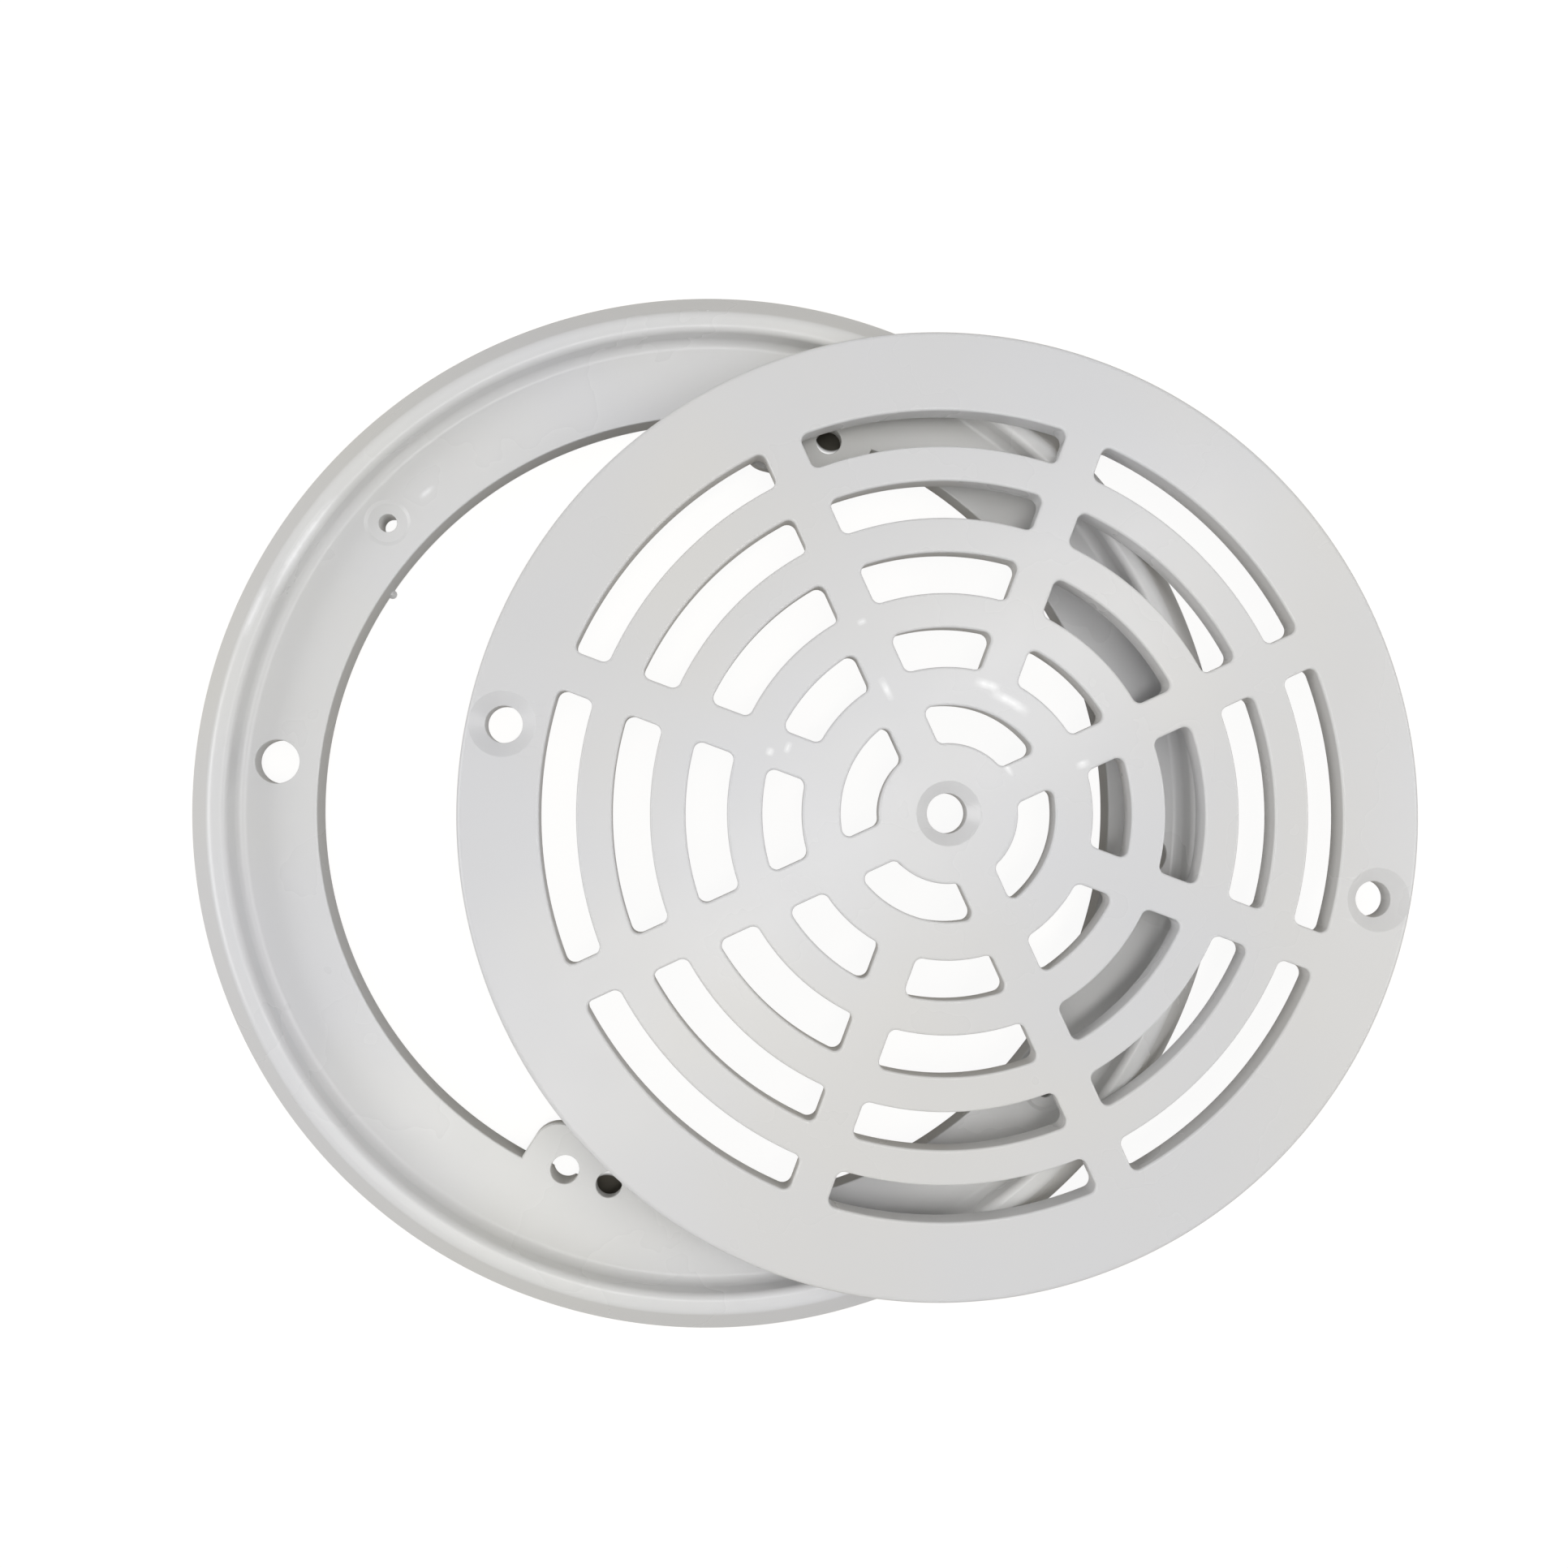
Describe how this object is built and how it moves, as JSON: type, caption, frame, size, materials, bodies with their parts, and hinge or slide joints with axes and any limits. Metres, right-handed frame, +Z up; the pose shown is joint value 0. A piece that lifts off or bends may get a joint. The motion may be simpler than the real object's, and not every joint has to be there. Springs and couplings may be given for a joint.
{
  "type": "pool main drain cover",
  "caption": "Round white plastic pool main drain cover: a stepped frame ring with screw ears, and its slotted arc-pattern grate lying on the rim, slid to one side.",
  "frame": {"origin": "centre of the frame ring at its seating face", "axes": "+Z up out of the drain, through the ring's central opening; +X the way the grate is slid off its recess"},
  "size_m": [0.2371, 0.2032, 0.0157],
  "materials": {
    "ring_plastic": "moulded, slightly glossy white",
    "grate_plastic": "moulded, slightly glossy white"
  },
  "bodies": {
    "root": {"frame_ring": "ring_plastic", "grate": "grate_plastic"}
  },
  "joints": []
}
